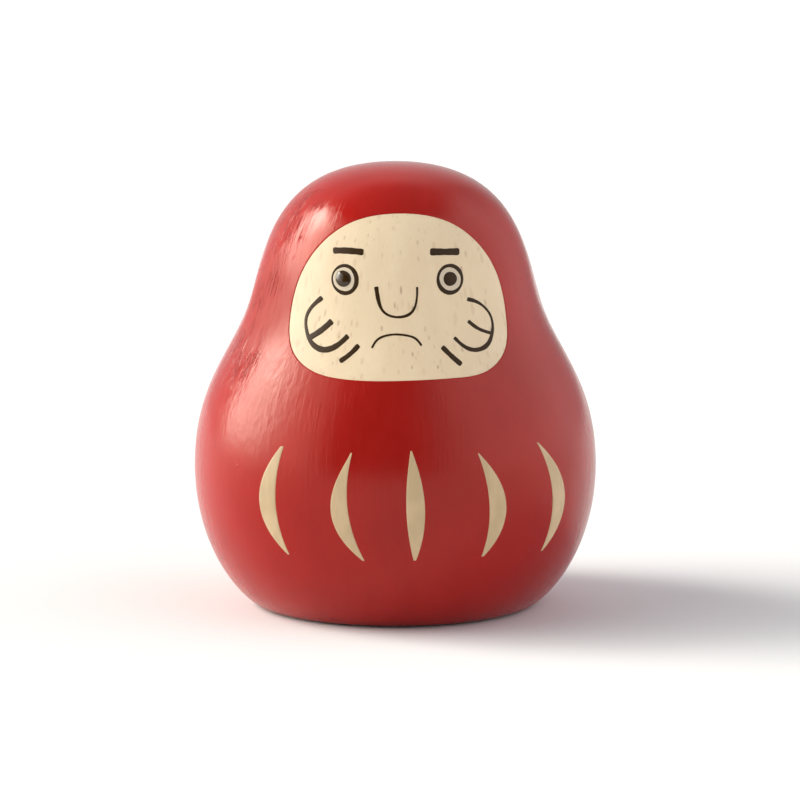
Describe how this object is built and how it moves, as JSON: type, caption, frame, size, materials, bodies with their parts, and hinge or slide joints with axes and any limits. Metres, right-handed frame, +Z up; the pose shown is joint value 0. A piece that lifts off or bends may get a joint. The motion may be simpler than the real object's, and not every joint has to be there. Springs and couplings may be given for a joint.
{
  "type": "daruma doll",
  "caption": "Pear-shaped turned wooden daruma doll, lacquered red with a bare wood face, weighted low so that it rights itself, on a felt-padded foot.",
  "frame": {"origin": "on the doll's axis at the underside of its felt pad, where it stands", "axes": "+Z up along the turning axis from foot to crown, face towards -Y, +X to the right of a viewer who looks at the face"},
  "size_m": [0.0684, 0.0684, 0.0753],
  "materials": {
    "red_lacquer": "satin lacquer over turned wood",
    "bare_wood": "pale fine-grained wood, sanded, with short brown flecks",
    "black_paint": "brushed black paint, slightly glossy",
    "beige_paint": "brushed beige paint, satin",
    "iron": "turned, dull",
    "felt": "pressed wool felt"
  },
  "bodies": {
    "root": {"turned_body": "red_lacquer", "ballast_slug": "iron", "base_plug": "bare_wood", "felt_pad": "felt"}
  },
  "joints": []
}
